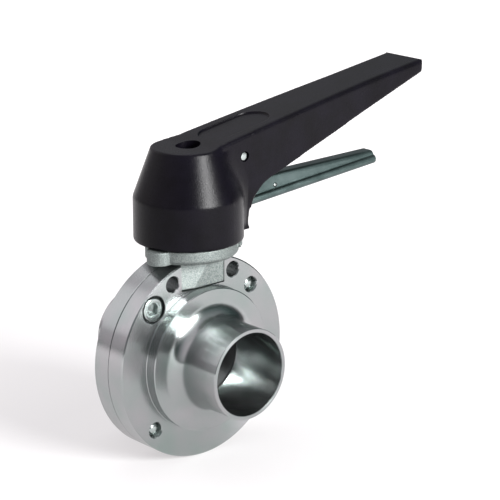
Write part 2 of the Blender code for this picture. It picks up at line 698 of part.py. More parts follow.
def crown_z(x):
    """Height of the trigger's crown."""
    return TRIGGER_TOP + TRIGGER_TOP_RISE * (x - TRIGGER_START)


def trigger_half_section(x):
    """Right half of the channel's section, from the inside of its roof round to the outside."""
    foot = roll_foot(x)
    inner = TRIGGER_HALF - SHEET
    centre = (TRIGGER_HALF + ROLL_OUT - ROLL_R, foot + ROLL_R)
    lower = arc(centre, ROLL_R, math.radians(-110), math.radians(65), 6)
    crown = arc((TRIGGER_HALF - CROWN_R, crown_z(x) - CROWN_R), CROWN_R, 0, math.pi / 2, 3)
    roof = crown_z(x) - SHEET
    waist = (TRIGGER_HALF, lower[-1][1] + 0.5 * MM)
    round_in = CROWN_R - SHEET
    return [(inner - round_in, roof), (inner, roof - round_in), (inner, foot + ROLL_R * 0.6),
            *lower, waist, *crown]


def make_trigger(material):
    """Pressed channel with rolled lower edges, and two ears that reach up to the pivot."""
    sections = []
    run = TRIGGER_END - TRIGGER_START - MM
    for x in [TRIGGER_START + run * i / 4 for i in range(5)] + [TRIGGER_END]:
        right = trigger_half_section(x)
        left = [(-y, z) for y, z in reversed(right)]
        section = right + left
        if x == TRIGGER_END:
            section = [(y * 0.93, z - 0.5 * MM if z > crown_z(x) - CROWN_R else z)
                       for y, z in section]
        sections.append([(x, y, z) for y, z in section])
    trigger = add_object("trigger_lever", loft(sections), material)

    pin = (PIVOT_X, PIVOT_Z)
    neck = TRIGGER_START + 3 * MM
    shin = PAWL_TIP + PAWL_REACH
    ear = arc(pin, EAR_R, math.radians(20), math.radians(190), 10)
    ear += [(PIVOT_X - 1.2 * MM, TRIGGER_FOOT + EAR_R), (PAWL_TIP, TRIGGER_FOOT - SHEET * 2),
            (PAWL_TIP, PAWL_FOOT + 2 * MM), (shin, PAWL_FOOT + 2 * MM),
            (shin, TRIGGER_FOOT - 0.5 * MM), (neck, TRIGGER_FOOT + 2.6 * MM),
            (neck, TRIGGER_TOP - CROWN_R - 0.2 * MM), (TRIGGER_START - 2 * MM, TRIGGER_TOP)]
    inside = TRIGGER_HALF - SHEET
    shave = 0.02 * MM
    for side in (-1, 1):
        near, far = sorted((side * (inside + shave), side * (TRIGGER_HALF - shave)))
        combine(trigger, prism(ear, near, far, "Y"), "UNION")
    reach = TRIGGER_HALF + ROLL_OUT
    combine(trigger, rod(PIVOT_R + PIVOT_CLEAR, -reach, reach, pin, "Y"))
    for z in RIVET_HEIGHTS:
        combine(trigger, rod(RIVET_R + GAP, -reach, reach, (RIVET_X, z), "Y", 16))
    crown = crown_z(SPRING_X)
    guide_hole = rod(GUIDE_R + GAP, crown - 2 * SHEET, crown + MM, (SPRING_X, 0.0))
    combine(trigger, guide_hole)
    cross = rod(CROSS_PIN_R + GAP, -reach, reach, (SPRING_X, CROSS_PIN_Z), "Y", 16)
    combine(trigger, cross)
    return trigger


def make_pawl(material):
    """The tooth that drops into the notched plate, riveted between the trigger's ears."""
    half = TRIGGER_HALF - SHEET - GAP
    tip = PAWL_TIP
    back = tip + PAWL_REACH
    inside = RIVET_X - 2 * RIVET_R
    top = RIVET_HEIGHTS[1] + 2 * RIVET_R
    shoulder = RIVET_HEIGHTS[0] - 1.5 * RIVET_R
    outline = [(tip, PAWL_FOOT), (back, PAWL_FOOT), (back, top), (inside, top),
               (inside, shoulder), (tip, shoulder - 0.5 * MM)]
    pawl = add_object("lock_pawl", prism(outline, -half, half, "Y"), material)
    for side in (-1, 1):
        y = side * NOTCH_WIDTH * 0.4
        low, high = sorted((y, side * (half + MM)))
        waste = box((tip - MM, low, PAWL_FOOT - MM), (back + MM, high, SKIRT_FOOT + 0.4 * MM))
        combine(pawl, waste)
    for z in RIVET_HEIGHTS:
        combine(pawl, rod(RIVET_R + GAP, -half - MM, half + MM, (RIVET_X, z), "Y", 16))
    return pawl


def make_pin(name, radius, half, centre, material):
    """A plain pin across the handle or the trigger."""
    bm = rod(radius, -half, half, centre, "Y", 24)
    return add_object(name, bm, material)


def make_guide(material):
    """The upright pin inside the spring, crossed at its foot by a small pin."""
    bm = rod(GUIDE_R, GUIDE_FOOT, GUIDE_TOP, (SPRING_X, 0.0), steps=16)
    guide = add_object("spring_guide_pin", bm, material)
    hole = rod(CROSS_PIN_R + GAP / 3, -GUIDE_R - MM, GUIDE_R + MM,
               (SPRING_X, CROSS_PIN_Z), "Y", 16)
    combine(guide, hole)
    return guide


def make_spring(material):
    """A round-wire compression spring: one unbroken tube from the trigger up into the handle."""
    low = crown_z(SPRING_X) + GAP + SPRING_WIRE_R
    high = top_z(SPRING_X) - ARM_ROOF - GAP - SPRING_WIRE_R
    count = SPRING_TURNS * SPRING_POINTS
    points = []
    for i in range(count + 1):
        angle = math.tau * i / SPRING_POINTS
        points.append(Vector((SPRING_X + SPRING_MEAN_R * math.cos(angle),
                              SPRING_MEAN_R * math.sin(angle), low + (high - low) * i / count)))
    curve = bpy.data.curves.new("trigger_spring", "CURVE")
    curve.dimensions = "3D"
    curve.bevel_depth = SPRING_WIRE_R
    curve.bevel_resolution = 1
    curve.use_fill_caps = True
    spline = curve.splines.new("POLY")
    spline.points.add(len(points) - 1)
    for target, point in zip(spline.points, points):
        target.co = (*point, 1.0)
    curve.materials.append(material)
    spring = bpy.data.objects.new("trigger_spring", curve)
    bpy.context.scene.collection.objects.link(spring)
    nearest = min((a - b).length for i, a in enumerate(points) for b in points[i + 4:])
    print("trigger_spring least gap to itself, mm:", round((nearest - 2 * SPRING_WIRE_R) / MM, 2))
    return spring


def hang_on_joint(name, place, pieces):
    """Parent pieces to an empty that stands on their joint's axis."""
    pivot = bpy.data.objects.new(name, None)
    pivot.location = place
    bpy.context.scene.collection.objects.link(pivot)
    for piece in pieces:
        piece.parent = pivot
        piece.matrix_parent_inverse = Matrix.Translation(place).inverted()
    return pivot


def main():
    """Build the valve."""
    clear_scene()
    steel = make_material("satin_stainless", (0.55, 0.56, 0.55), 0.3, 1.0)
    cast = make_material("cast_stainless", (0.50, 0.52, 0.50), 0.5, 1.0)
    plated = make_material("plated_steel", (0.38, 0.43, 0.42), 0.3, 1.0)
    bright = make_material("bright_steel", (0.66, 0.68, 0.67), 0.2, 1.0)
    rubber = make_material("black_rubber", (0.01, 0.01, 0.01), 0.7, 0.0)
    plastic = make_material("black_nylon", (0.013, 0.012, 0.016), 0.45, 0.0)
    bearing = make_material("white_polymer", (0.75, 0.74, 0.70), 0.5, 0.0)

    make_body_half("front_body_half", 0.0, steel)
    make_body_half("back_body_half", math.pi, steel)
    make_seat(rubber)
    make_bush("upper_stem_bush", BUSH_FOOT + GAP, BUSH_FOOT + UPPER_BUSH_LENGTH, bearing)
    make_bush("lower_stem_bush", -STEM_FOOT, -BUSH_FOOT, bearing)
    make_bracket(cast)
    for number, (quarter, turn) in enumerate(((0, 0.0), (2, 0.0), (0, math.pi), (2, math.pi)), 1):
        make_clamp_screw(f"clamp_screw_{number}", BOLT_ANGLE + quarter * math.pi / 2, turn, bright)

    rotor = [
        make_disc(steel),
        make_handle(plastic),
        make_insert(bright),
        make_handle_screw(bright),
        make_washer(bright),
    ]
    pin_half = top_half(PIVOT_X) - 0.8 * MM
    rotor.append(make_pin("trigger_pin", PIVOT_R, pin_half, (PIVOT_X, PIVOT_Z), bright))
    hang_on_joint("stem_axis", (0.0, 0.0, 0.0), rotor)

    trigger = [
        make_trigger(plated),
        make_pawl(bright),
        make_guide(bright),
        make_pin("guide_cross_pin", CROSS_PIN_R, TRIGGER_HALF + 0.1 * MM,
                 (SPRING_X, CROSS_PIN_Z), bright),
        make_spring(bright),
    ]
    rivet_half = TRIGGER_HALF + 0.25 * MM
    for number, z in enumerate(RIVET_HEIGHTS, 1):
        trigger.append(make_pin(f"pawl_rivet_{number}", RIVET_R, rivet_half, (RIVET_X, z), bright))
    hang_on_joint("trigger_axis", (PIVOT_X, 0.0, PIVOT_Z), trigger)


main()
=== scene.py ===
"""Looks of a hygienic butterfly valve with weld ends, a lever handle and a squeeze trigger.

+Z runs up the stem, Y along the pipe, and the handle lies along +X with the valve closed.
"""

import math

import bmesh
import bpy
from mathutils import Matrix, Vector


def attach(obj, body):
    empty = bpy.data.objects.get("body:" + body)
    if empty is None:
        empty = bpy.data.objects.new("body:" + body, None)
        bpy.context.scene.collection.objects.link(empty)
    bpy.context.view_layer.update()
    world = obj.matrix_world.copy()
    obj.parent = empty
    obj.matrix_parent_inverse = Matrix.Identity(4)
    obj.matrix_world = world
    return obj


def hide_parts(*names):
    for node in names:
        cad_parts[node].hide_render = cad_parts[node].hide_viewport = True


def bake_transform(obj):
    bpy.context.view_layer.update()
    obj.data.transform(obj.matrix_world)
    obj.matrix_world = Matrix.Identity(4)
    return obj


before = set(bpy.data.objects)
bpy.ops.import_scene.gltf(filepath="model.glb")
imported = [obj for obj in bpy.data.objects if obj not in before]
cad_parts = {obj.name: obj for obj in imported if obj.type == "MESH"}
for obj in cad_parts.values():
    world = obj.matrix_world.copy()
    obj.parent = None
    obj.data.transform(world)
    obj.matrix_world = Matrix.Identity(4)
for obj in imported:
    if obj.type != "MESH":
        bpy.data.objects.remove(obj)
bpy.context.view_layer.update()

MM = 0.001
GAP = 0.3 * MM

# Body
TUBE_R = 19.05 * MM
BORE_R = 17.4 * MM
TUBE_END = 38.0 * MM
FLANGE_R = 43.0 * MM
FLANGE_T = 9.0 * MM
BOSS_R = 30.3 * MM
BOSS_FACE = 14.2 * MM
FILLET_R = 5.9 * MM
SEAT_POCKET = 9.6 * MM
SEAT_R = 21.8 * MM
SEAT_BORE_R = 17.2 * MM
SEAT_HALF = 9.3 * MM
SLOT_HALF = 11.4 * MM
SLOT_FLOOR = 30.1 * MM
SIDE_HOLE = (16.0 * MM, 34.5 * MM, 3.25 * MM)
BOLT_CIRCLE_R = 36.6 * MM
HEAD_R = 5.0 * MM
SHANK_R = 3.0 * MM
STEM_HOLE_R = 5.3 * MM
BUSH_HOLE_R = 6.9 * MM

# Index bracket
LEG_X = (-10.2 * MM, 11.3 * MM)
FACET_START = -5.2 * MM  # left edge of the facet at the slot's floor
FACET_STEEP = 9.7 / 7.6
FACET_FALL = 0.259
PLATE_Z = (43.0 * MM, 48.8 * MM)
PLATE_R = 20.5 * MM
PLATE_CHAMFER = 1.5 * MM
PLATE_FLAT = (17.4 * MM, 138.5)  # distance from the stem, and its direction in degrees
LOBE_R = 5.2 * MM
LOBE_ANGLE = 193
RING_R = 22.0 * MM
RING_T = 2.4 * MM
NOTCH_FIRST = -50
NOTCH_STEP = 10
NOTCH_COUNT = 15
NOTCH_DEPTH = 2.0 * MM
NOTCH_HALF = 1.1 * MM

# Handle
SKIRT_R = 22.7 * MM
SKIRT_FOOT = 49.4 * MM
SKIRT_TOP = 67.3 * MM
HUB_TOP_R = 15.0 * MM
HUB_TOP_Z = 88.3 * MM
TOP_SLOPE = 0.181
TOP_BEND_R = 3700.0 * MM
HUB_FLAT_Z = 87.9 * MM
RAMP_X = (-3.0 * MM, 10.0 * MM)
ARM_END = 125.2 * MM
ARM_ROOT_HALF = 14.5 * MM
ARM_HALF = 11.2 * MM
ARM_FOOT_HALF = 11.2 * MM
ARM_TAPER_END = 90.0 * MM
ARM_FRONT = 23.5 * MM
ARM_FOOT = 50.9 * MM
ARM_TIP_T = 5.35 * MM
UNDER_SLOPE = math.atan(0.3575)
UNDER_R = 16.0 * MM
WALL = 2.5 * MM
ROOF = 3.2 * MM
RECESS_X = (7.8 * MM, 41.7 * MM)
RECESS_HALF = 8.2 * MM
RECESS_DEPTH = 0.7 * MM
SCREW_HOLE_R = 5.15 * MM
INSERT_HOLE_R = 9.3 * MM
HOUSING_FOOT = 75.2 * MM
HOUSING_R = 4.4 * MM
SPRING_BORE_R = 3.3 * MM
PIVOT = (19.2 * MM, 82.6 * MM)
PIVOT_HOLE_R = 2.2 * MM

# Trigger
CROWN_TOP = 69.1 * MM
TRIGGER_START = 29.0 * MM
TRIGGER_END = 102.5 * MM
TRIGGER_HALF = 3.75 * MM
TRIGGER_FOOT = 58.2 * MM
FOOT_RISE = 0.083
CROWN_RISE = 0.01
CROWN_R = 1.8 * MM
SHEET = 1.5 * MM
ROLL_R = 1.9 * MM
ROLL_OUT = 1.85 * MM
RIVETS = ((23.6 * MM, 52.5 * MM), (23.6 * MM, 58.0 * MM))
SPRING_X = 44.3 * MM
CROSS_PIN = (SPRING_X, 64.5 * MM)


# --- Shapes -----------------------------------------------------------------------------------


def arc(centre, radius, start, end, steps):
    """Points along an arc given in degrees, both ends included."""
    points = []
    for i in range(steps + 1):
        angle = math.radians(start + (end - start) * i / steps)
        points.append((centre[0] + radius * math.cos(angle), centre[1] + radius * math.sin(angle)))
    return points


def turned(profile, steps, axis="Z"):
    """Spin an outline of (radius, height) points a full turn round an axis."""
    bm = bmesh.new()
    verts = [bm.verts.new((r, 0.0, h)) for r, h in profile]
    edges = [bm.edges.new(pair) for pair in zip(verts, verts[1:])]
    if profile[0][0] > 0.0 and profile[-1][0] > 0.0:
        edges.append(bm.edges.new((verts[-1], verts[0])))
    bmesh.ops.spin(bm, geom=verts + edges, cent=(0, 0, 0), axis=(0, 0, 1), angle=math.tau,
                   steps=steps, use_merge=True)
    bmesh.ops.remove_doubles(bm, verts=bm.verts, dist=1e-7)
    if axis == "Y":
        bm.transform(Matrix.Rotation(math.radians(90), 4, "X"))
    outward(bm)
    return bm


def outward(bm):
    """Point every face outwards."""
    bmesh.ops.recalc_face_normals(bm, faces=bm.faces)
    if bm.calc_volume(signed=True) < 0.0:
        bmesh.ops.reverse_faces(bm, faces=bm.faces)


def pushed(outline, low, high, axis="Z"):
    """Push a flat outline along an axis."""
    place = {"X": lambda a, b: (low, a, b), "Y": lambda a, b: (a, low, b),
             "Z": lambda a, b: (a, b, low)}[axis]
    push = {"X": (high - low, 0, 0), "Y": (0, high - low, 0), "Z": (0, 0, high - low)}[axis]
    bm = bmesh.new()
    face = bm.faces.new([bm.verts.new(place(a, b)) for a, b in outline])
    grown = bmesh.ops.extrude_face_region(bm, geom=[face])
    moved = [v for v in grown["geom"] if isinstance(v, bmesh.types.BMVert)]
    bmesh.ops.translate(bm, verts=moved, vec=push)
    outward(bm)
    return bm


def block(low, high):
    """A block between two corners."""
    bm = bmesh.new()
    bmesh.ops.create_cube(bm, size=1.0)
    size = [b - a for a, b in zip(low, high)]
    middle = [(a + b) / 2 for a, b in zip(low, high)]
    bmesh.ops.scale(bm, verts=bm.verts, vec=size)
    bmesh.ops.translate(bm, verts=bm.verts, vec=middle)
    return bm


def rod(radius, low, high, centre, axis="Z", steps=48):
    """A round bar along an axis."""
    return pushed(arc(centre, radius, 0, 360 - 360 / steps, steps - 1), low, high, axis)


def swept(sections):
    """Extrude an outline from one section to the next."""
    bm = bmesh.new()
    ring = [bm.verts.new(p) for p in sections[0]]
    bm.faces.new(ring)
    edges = [bm.edges.get((a, b)) for a, b in zip(ring, ring[1:] + ring[:1])]
    for section in sections[1:]:
        grown = bmesh.ops.extrude_edge_only(bm, edges=edges)["geom"]
        edges = [e for e in grown if isinstance(e, bmesh.types.BMEdge)]
        fresh = {v for e in edges for v in e.verts}
        following = []
        for vert, target in zip(ring, section):
            twin = next(e.other_vert(vert) for e in vert.link_edges if e.other_vert(vert) in fresh)
            twin.co = target
            following.append(twin)
        ring = following
        edges = [bm.edges.get((a, b)) for a, b in zip(ring, ring[1:] + ring[:1])]
    bm.faces.new(ring)
    outward(bm)
    return bm


def worked(bm, tools=(), operation="DIFFERENCE", voxel=0.0):
    """Cut shapes out of a mesh or join them on, or rebuild it as one even skin."""
    def stand(shape):
        mesh = bpy.data.meshes.new("work")
        shape.to_mesh(mesh)
        shape.free()
        item = bpy.data.objects.new("work", mesh)
        bpy.context.scene.collection.objects.link(item)
        return item

    piece = stand(bm)
    helpers = [stand(tool) for tool in tools]
    for helper in helpers:
        boolean = piece.modifiers.new("work", "BOOLEAN")
        boolean.operation = operation
        boolean.solver = "MANIFOLD"
        boolean.object = helper
    if voxel:
        remesh = piece.modifiers.new("work", "REMESH")
        remesh.mode = "VOXEL"
        remesh.voxel_size = voxel
    bpy.context.view_layer.update()
    result = bmesh.new()
    result.from_mesh(piece.evaluated_get(bpy.context.evaluated_depsgraph_get()).to_mesh())
    for item in [piece] + helpers:
        bpy.data.objects.remove(item)
    return result


def relax(bm, rounds, inside=None):
    """Soften a skin, everywhere or where a test on the place says so."""
    verts = [v for v in bm.verts if inside is None or inside(v.co)]
    for _ in range(rounds):
        bmesh.ops.smooth_vert(bm, verts=verts, factor=0.5,
                              use_axis_x=True, use_axis_y=True, use_axis_z=True)


def edge_break(bm, test, offset, segments=3):
    """Bevel the edges that a test on their two ends picks."""
    picked = [e for e in bm.edges if test(e.verts[0].co, e.verts[1].co)]
    bmesh.ops.bevel(bm, geom=picked, offset=offset, offset_type="OFFSET", segments=segments,
                    profile=0.5, affect="EDGES", clamp_overlap=True, material=-1)


def piece(name, bm, finish, body, stands_for, angle=32.0):
    """Make a mesh one shown piece that rides on a body and stands for a CAD node."""
    mesh = bpy.data.meshes.new(name)
    bm.to_mesh(mesh)
    bm.free()
    mesh.shade_smooth()
    mesh.set_sharp_from_angle(angle=math.radians(angle))
    item = bpy.data.objects.new(name, mesh)
    bpy.context.scene.collection.objects.link(item)
    material, slot = finish
    mesh.materials.append(material)
    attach(item, body)
    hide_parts(stands_for)
    return item


# --- Finishes ---------------------------------------------------------------------------------


def colour(code):
    """Turn an sRGB hex colour to linear RGBA."""
    channels = [int(code[i:i + 2], 16) / 255 for i in (0, 2, 4)]
    linear = [c / 12.92 if c <= 0.04045 else ((c + 0.055) / 1.055) ** 2.4 for c in channels]
    return (*linear, 1.0)


def add(tree, kind, links=(), **settings):
    """Add a node: settings by name, and links as (input, value or output socket)."""
    node = tree.nodes.new(kind)
    for key, value in settings.items():
        setattr(node, key, value)
    for key, value in links:
        if isinstance(value, bpy.types.NodeSocket):
            tree.links.new(value, node.inputs[key])
        else:
            node.inputs[key].default_value = value
    return node


def new_material(name, base, roughness, metallic):
    """A Principled material with its constant values set on the shader."""
    material = bpy.data.materials.new(name)
    material.use_nodes = True
    tree = material.node_tree
    shader = tree.nodes["Principled BSDF"]
    shader.inputs["Base Color"].default_value = colour(base)
    shader.inputs["Roughness"].default_value = roughness
    shader.inputs["Metallic"].default_value = metallic
    place = add(tree, "ShaderNodeTexCoord").outputs["Object"]
    return material, tree, shader, place


def ramp(tree, value, stops):
    """A colour ramp from (place, colour code) stops."""
    node = add(tree, "ShaderNodeValToRGB", [(0, value)])
    node.color_ramp.elements[0].position = stops[0][0]
    node.color_ramp.elements[0].color = colour(stops[0][1])
    node.color_ramp.elements[1].position = stops[-1][0]
    node.color_ramp.elements[1].color = colour(stops[-1][1])
    for at, code in stops[1:-1]:
        node.color_ramp.elements.new(at).color = colour(code)
    return node.outputs[0]


def remap(tree, value, low, high):
    """Stretch a 0 to 1 value to a range."""
    return add(tree, "ShaderNodeMapRange", [(0, value), (3, low), (4, high)]).outputs[0]


def noise(tree, place, scale, detail):
    """Noise from 0 to 1 whose grain is 1 / scale metres wide."""
    return add(tree, "ShaderNodeTexNoise", [("Vector", place), ("Scale", scale),
                                            ("Detail", detail)]).outputs[0]


def maths(tree, operation, first, second):
    """One step of arithmetic on two values."""
    return add(tree, "ShaderNodeMath", [(0, first), (1, second)], operation=operation).outputs[0]


def bump(tree, shader, height, strength, distance):
    """Raise the surface by a height."""
    node = add(tree, "ShaderNodeBump", [("Height", height), ("Strength", strength),
                                        ("Distance", distance)])
    tree.links.new(node.outputs[0], shader.inputs["Normal"])


def dress(tree, shader, shade, stops):
    """Colour the surface by a ramp over a 0 to 1 value."""
    tree.links.new(ramp(tree, shade, stops), shader.inputs["Base Color"])


def turned_stainless():
    """Stainless steel faced on a lathe: fine rings round the pipe fan the highlights."""
    material, tree, shader, place = new_material("turned_stainless", "9DA1A1", 0.24, 1.0)
    shader.inputs["Anisotropic"].default_value = 0.85
    shader.inputs["Anisotropic Rotation"].default_value = 0.25
    split = add(tree, "ShaderNodeSeparateXYZ", [(0, place)]).outputs
    section = add(tree, "ShaderNodeCombineXYZ", [("X", split[0]), ("Y", split[2])]).outputs[0]
    radius = add(tree, "ShaderNodeVectorMath", [(0, section)], operation="LENGTH").outputs["Value"]
    angle = maths(tree, "ARCTAN2", split[2], split[0])
    across = maths(tree, "ADD", radius, split[1])
    # Tool marks are about 0.15 mm apart; drawn at 0.5 mm so that they show.
    marks_at = add(tree, "ShaderNodeCombineXYZ", [("X", maths(tree, "MULTIPLY", across, 2000.0)),
                                                  ("Y", angle)]).outputs[0]
    marks = noise(tree, marks_at, 1.0, 3.0)
    cloud = noise(tree, place, 60.0, 4.0)
    mixed = maths(tree, "MULTIPLY", marks, cloud)
    tree.links.new(remap(tree, mixed, 0.18, 0.32), shader.inputs["Roughness"])
    dress(tree, shader, cloud, [(0.3, "96A09D"), (0.7, "A7A6A8")])
    # The bore is pickled, not turned: a grit of about 0.7 mm.
    inside = maths(tree, "LESS_THAN", radius, BORE_R + GAP)
    grit = maths(tree, "MULTIPLY", noise(tree, place, 1500.0, 2.0), 14.0)
    height = maths(tree, "ADD", maths(tree, "MULTIPLY", grit, inside), marks)
    bump(tree, shader, height, 0.15, 0.02 * MM)
    around = add(tree, "ShaderNodeVectorMath", [(0, (0.0, 1.0, 0.0)), (1, place)],
                 operation="CROSS_PRODUCT").outputs[0]
    tree.links.new(around, shader.inputs["Tangent"])
    return material, "satin_stainless"


def cast_stainless():
    """Investment-cast stainless steel, bead blasted: pale, matte, with a fine sparkling grain."""
    material, tree, shader, place = new_material("blasted_cast_stainless", "7A807E", 0.68, 1.0)
    # Bead marks of about 0.4 mm.
    grain = noise(tree, place, 2600.0, 3.0)
    skin = noise(tree, place, 180.0, 4.0)
    tree.links.new(remap(tree, skin, 0.56, 0.76), shader.inputs["Roughness"])
    dress(tree, shader, grain, [(0.38, "666D6B"), (0.62, "8B918F")])
    bump(tree, shader, maths(tree, "ADD", grain, skin), 0.8, 0.12 * MM)
    return material, "cast_stainless"


def pressed_steel():
    """Cold-rolled sheet, pressed and zinc plated: grey-green, satin, with streaks along X."""
    material, tree, shader, place = new_material("zinc_plated_pressed_steel", "52605F",
                                                 0.36, 1.0)
    # Rolling streaks about 0.6 mm apart and 17 mm long.
    stretched = add(tree, "ShaderNodeMapping", [("Vector", place),
                                                ("Scale", (60.0, 1800.0, 1800.0))]).outputs[0]
    streak = noise(tree, stretched, 1.0, 4.0)
    tree.links.new(remap(tree, streak, 0.28, 0.46), shader.inputs["Roughness"])
    dress(tree, shader, noise(tree, place, 120.0, 3.0), [(0.3, "465453"), (0.7, "5E6C6B")])
    bump(tree, shader, streak, 0.35, 0.04 * MM)
    return material, "plated_steel"


def machined_steel():
    """Machined stainless bar: bright, with faint cloudy wear."""
    material, tree, shader, place = new_material("machined_stainless", "AEB6B4", 0.24, 1.0)
    cloud = noise(tree, place, 300.0, 2.0)
    tree.links.new(remap(tree, cloud, 0.2, 0.28), shader.inputs["Roughness"])
    dress(tree, shader, cloud, [(0.35, "A6AFAD"), (0.65, "B6BDBB")])
    return material, "bright_steel"


def moulded_nylon():
    """Glass-filled nylon from a spark-eroded mould: near black, fine grain, satin sheen."""
    material, tree, shader, place = new_material("moulded_black_nylon", "08070B", 0.27, 0.0)
    shader.inputs["Specular IOR Level"].default_value = 0.11
    # Mould grain of about 0.5 mm.
    grain = noise(tree, place, 2200.0, 3.0)
    tree.links.new(remap(tree, grain, 0.22, 0.38), shader.inputs["Roughness"])
    dress(tree, shader, noise(tree, place, 110.0, 5.0), [(0.3, "050407"), (0.7, "0B0910")])
    bump(tree, shader, grain, 0.6, 0.1 * MM)
    return material, "black_nylon"


def moulded_rubber():
    """Black EPDM rubber: matte, with a faint bloom."""
    material, tree, shader, place = new_material("black_rubber", "0D0D0D", 0.5, 0.0)
    cloud = noise(tree, place, 500.0, 4.0)
    tree.links.new(remap(tree, cloud, 0.3, 0.6), shader.inputs["Roughness"])
    dress(tree, shader, cloud, [(0.3, "090909"), (0.7, "161616")])
    return material, "black_rubber"


def bearing_polymer():
    """White bearing polymer, turned."""
    material, tree, shader, place = new_material("white_bearing_polymer", "E4E1D8", 0.5, 0.0)
    dress(tree, shader, noise(tree, place, 700.0, 2.0), [(0.3, "DAD7CD"), (0.7, "EAE8E0")])
    return material, "white_polymer"


BODY_STEEL = turned_stainless()
CAST = cast_stainless()
PRESSED = pressed_steel()
BRIGHT = machined_steel()
NYLON = moulded_nylon()
RUBBER = moulded_rubber()
POLYMER = bearing_polymer()


# --- Body -------------------------------------------------------------------------------------


def bolt_place(number):
    """X and Z of a clamp screw, counted from the upper left of the front face."""
    angle = math.radians(135 + 90 * number)
    return (BOLT_CIRCLE_R * math.cos(angle), BOLT_CIRCLE_R * math.sin(angle))


def hole_along_y(x, z, radius, start, end, chamfer):
    """A drill along +Y with a countersunk mouth at its start."""
    profile = [(0.0, start - MM), (radius + chamfer + MM, start - MM), (radius, start + chamfer),
               (radius, end), (0.0, end)]
    bm = turned([(r, -y) for r, y in profile], 48, "Y")
    bm.transform(Matrix.Translation((x, 0.0, z)))
    outward(bm)
    return bm


def body_half(name, turn):
    """One flanged half with its tube."""
    half_gap = GAP / 2
    nick = 0.25 * MM
    small = 0.15 * MM
    corner = (TUBE_R + FILLET_R, BOSS_FACE + FILLET_R)
    profile = [
        (FLANGE_R - small, half_gap), (FLANGE_R, half_gap + small),
        (FLANGE_R, FLANGE_T - 0.5 * MM), (FLANGE_R - 0.5 * MM, FLANGE_T),
        (BOSS_R + nick, FLANGE_T), (BOSS_R, FLANGE_T + nick),
        (BOSS_R, BOSS_FACE - 0.35 * MM), (BOSS_R - 0.35 * MM, BOSS_FACE),
        *arc(corner, FILLET_R, 270, 180, 20),
        (TUBE_R, TUBE_END - small), (TUBE_R - small, TUBE_END),
        (BORE_R + small, TUBE_END), (BORE_R, TUBE_END - small),
        (BORE_R, SEAT_POCKET), (SEAT_R + GAP, SEAT_POCKET), (SEAT_R + GAP, half_gap),
    ]
    face = -FLANGE_T
    tools = [
        block((-SLOT_HALF, -TUBE_END, SLOT_FLOOR), (SLOT_HALF, MM, FLANGE_R + MM)),
        rod(9.9 * MM, 23.1 * MM, 27.7 * MM, (0, 0)),
        rod(8.2 * MM, 23.4 * MM, SLOT_FLOOR + MM, (0, 0)),
        rod(BUSH_HOLE_R, -30.6 * MM, -21.0 * MM, (0, 0)),
        rod(STEM_HOLE_R, 21.0 * MM, 24.0 * MM, (0, 0)),
    ]
    for side in (-1, 1):
        x, z, radius = SIDE_HOLE
        tools.append(hole_along_y(side * x, z, radius, face, MM, 0.35 * MM))
    for number in range(4):
        x, z = bolt_place(number)
        if number % 2 == 0:
            tools.append(hole_along_y(x, z, HEAD_R + 0.85 * MM, face, face + 7.1 * MM, 0.15 * MM))
            tools.append(rod(SHANK_R + GAP, -3.0 * MM, MM, (x, z), "Y"))
        else:
            tools.append(hole_along_y(x, z, SHANK_R + 0.2 * MM, face, MM, 0.4 * MM))
    half = worked(turned(profile, 192, "Y"), tools)
    half.transform(Matrix.Rotation(turn, 4, "Z"))
    return piece(name + ".steel", half, BODY_STEEL, "valve_body", name, 25.0)


def clamp_screw(name, number, turn):
    """Socket-head screw with a rolled thread; its far end shows in the other flange."""
    x, z = bolt_place(number)
    top = -FLANGE_T + 0.45 * MM
    under = top + 6.3 * MM
    end = FLANGE_T - 1.5 * MM
    pitch = 1.0 * MM
    thread = []
    y = 1.0 * MM
    while y < end - 1.2 * MM:
        thread += [(SHANK_R, y), (SHANK_R - 0.35 * MM, y + pitch / 2)]
        y += pitch
    profile = [
        (0.0, top), (HEAD_R - 0.75 * MM, top), *[(r, -s) for r, s in arc(
            (HEAD_R - 0.75 * MM, -top - 0.6 * MM), 0.6 * MM, 75, 0, 4)],
        (HEAD_R - 0.15 * MM, under), (SHANK_R, under), *thread, (SHANK_R, end - 1.1 * MM),
        (SHANK_R - 1.1 * MM, end), (SHANK_R - 1.6 * MM, end + 0.3 * MM), (0.0, end + 0.4 * MM),
    ]
    screw = turned([(r, -s) for r, s in profile], 64, "Y")
    screw.transform(Matrix.Translation((x, 0.0, z)))
    flat_r = 2.5 * MM
    hexagon = arc((x, z), flat_r / math.cos(math.pi / 6), 14, 314, 5)
    socket = pushed(hexagon, top - MM, top + 3.0 * MM, "Y")
    cone = turned([(0.0, -top - 4.2 * MM), (flat_r, -top - 2.9 * MM), (flat_r, -top - 2.0 * MM),
                   (0.0, -top - 2.0 * MM)], 48, "Y")
    mouth = turned([(0.0, -top + MM), (flat_r + 1.4 * MM, -top + MM), (flat_r, -top - 0.4 * MM),
                    (0.0, -top - 0.4 * MM)], 48, "Y")
    for tool in (cone, mouth):
        tool.transform(Matrix.Translation((x, 0.0, z)))
    screw = worked(screw, [socket, cone, mouth])
    screw.transform(Matrix.Rotation(turn, 4, "Z"))
    return piece(name + ".steel", screw, BRIGHT, "valve_body", name, 28.0)


